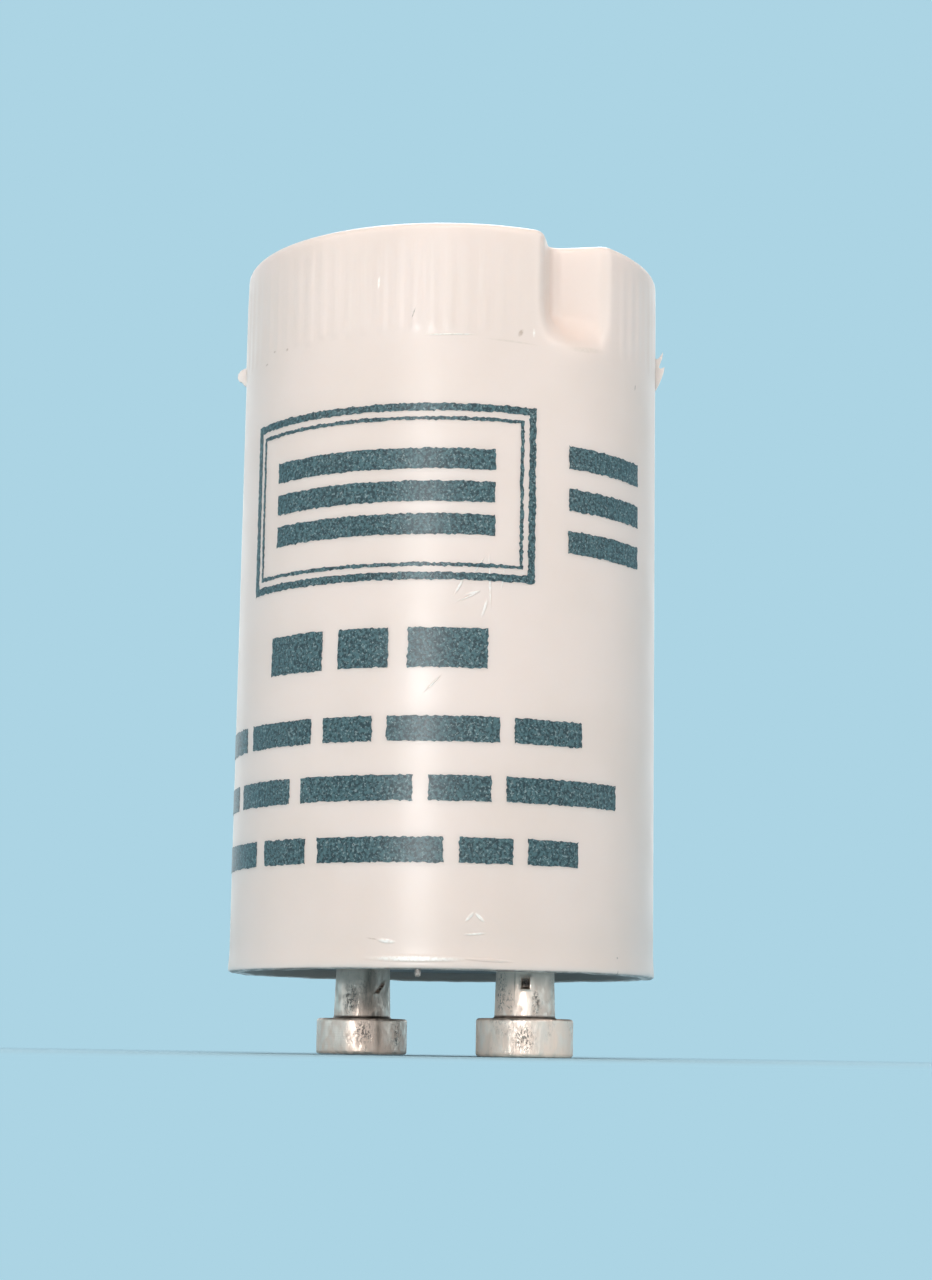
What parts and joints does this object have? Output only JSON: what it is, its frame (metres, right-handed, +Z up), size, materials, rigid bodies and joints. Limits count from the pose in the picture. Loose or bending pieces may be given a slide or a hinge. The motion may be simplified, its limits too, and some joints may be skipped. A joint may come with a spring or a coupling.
{
  "type": "fluorescent starter",
  "caption": "Round white glow starter for fluorescent lamps: a ribbed plastic can with grip grooves, on a base disc with headed metal contact pins.",
  "frame": {"origin": "the middle of the line through the two contact pins, in the plane of their flat ends", "axes": "+Z up the can's axis from the pins to the closed top, +X along the line through the pins"},
  "size_m": [0.0212, 0.0216, 0.04],
  "materials": {
    "can_plastic": "moulded, satin to gloss, warm white",
    "disc_board": "punched insulating board, grey-white",
    "pin_aluminium": "turned, bright, lightly scuffed",
    "bulb_glass": "clear drawn glass",
    "nickel_wire": "nickel-plated wire",
    "bimetal": "rolled strip",
    "copper_wire": "tinned copper wire",
    "capacitor_film": "wound film and foil",
    "capacitor_tape": "yellow polyester tape",
    "capacitor_resin": "cast resin fill",
    "sleeve_plastic": "extruded insulating sleeve"
  },
  "bodies": {
    "root": {"can": "can_plastic", "base_disc": "disc_board", "contact_pin_right": "pin_aluminium", "contact_pin_left": "pin_aluminium", "bulb_envelope": "bulb_glass", "bulb_stem": "bulb_glass", "fixed_electrode": "nickel_wire", "bimetal_post": "nickel_wire", "bimetal_strip": "bimetal", "bulb_lead_right": "copper_wire", "bulb_lead_left": "copper_wire", "capacitor_winding": "capacitor_film", "capacitor_wrap": "capacitor_tape", "capacitor_seal_lower": "capacitor_resin", "capacitor_seal_upper": "capacitor_resin", "capacitor_lead_lower": "copper_wire", "capacitor_lead_upper": "copper_wire", "lead_sleeve": "sleeve_plastic"}
  },
  "joints": []
}
